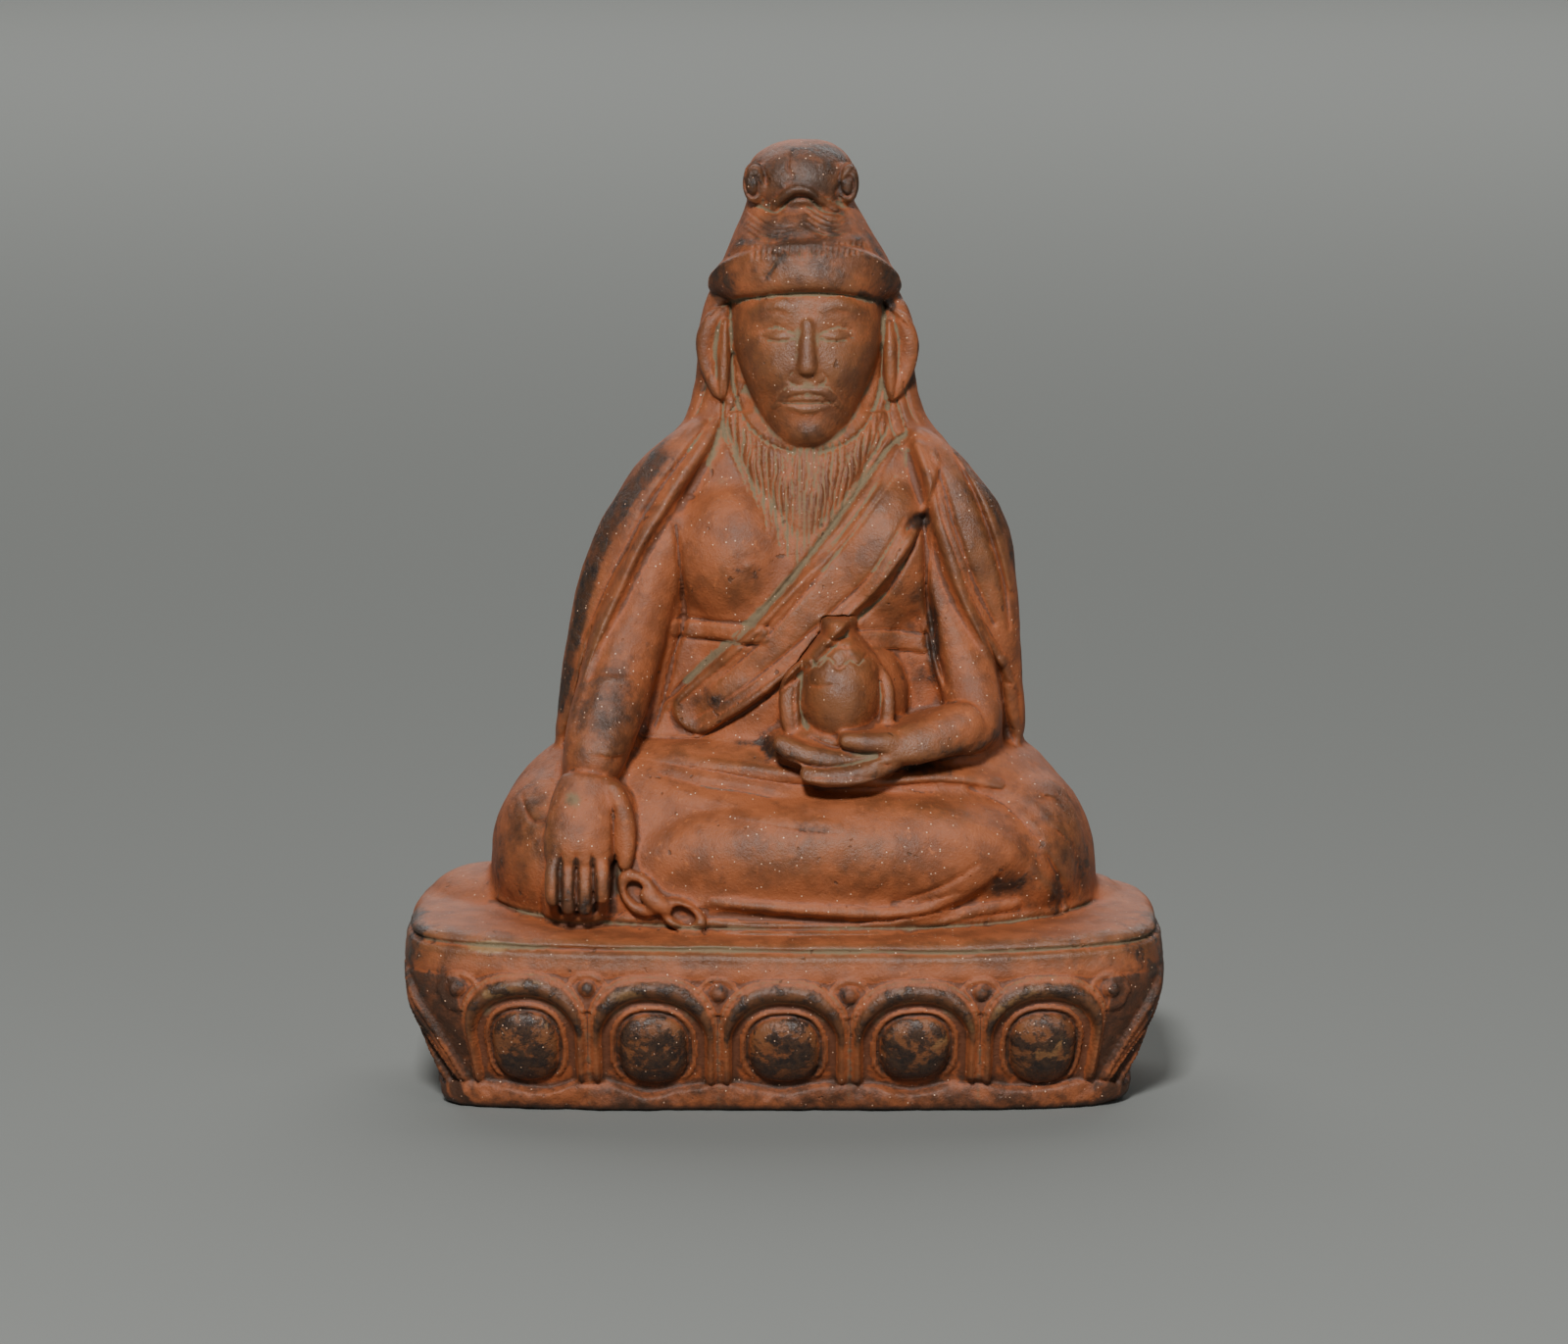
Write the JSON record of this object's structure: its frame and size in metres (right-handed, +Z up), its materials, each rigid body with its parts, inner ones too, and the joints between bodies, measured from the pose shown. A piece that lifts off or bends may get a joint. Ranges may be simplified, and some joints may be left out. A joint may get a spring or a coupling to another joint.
{
  "type": "tsa tsa figure",
  "caption": "Small moulded clay votive figure of a seated bearded adept on a lotus throne, holding a chain and a lidded vase, with a plain pressed back.",
  "frame": {"origin": "on the underside of the throne, under the middle of its width and depth", "axes": "+X to the viewer's right, +Y to the back, +Z up to the hair knot"},
  "size_m": [0.0578, 0.027, 0.072],
  "materials": {
    "fired_clay": "matte, orange-brown fired clay, a little polished on the high places and dark with age in patches"
  },
  "bodies": {
    "root": {"moulded_clay_figure": "fired_clay"}
  },
  "joints": []
}
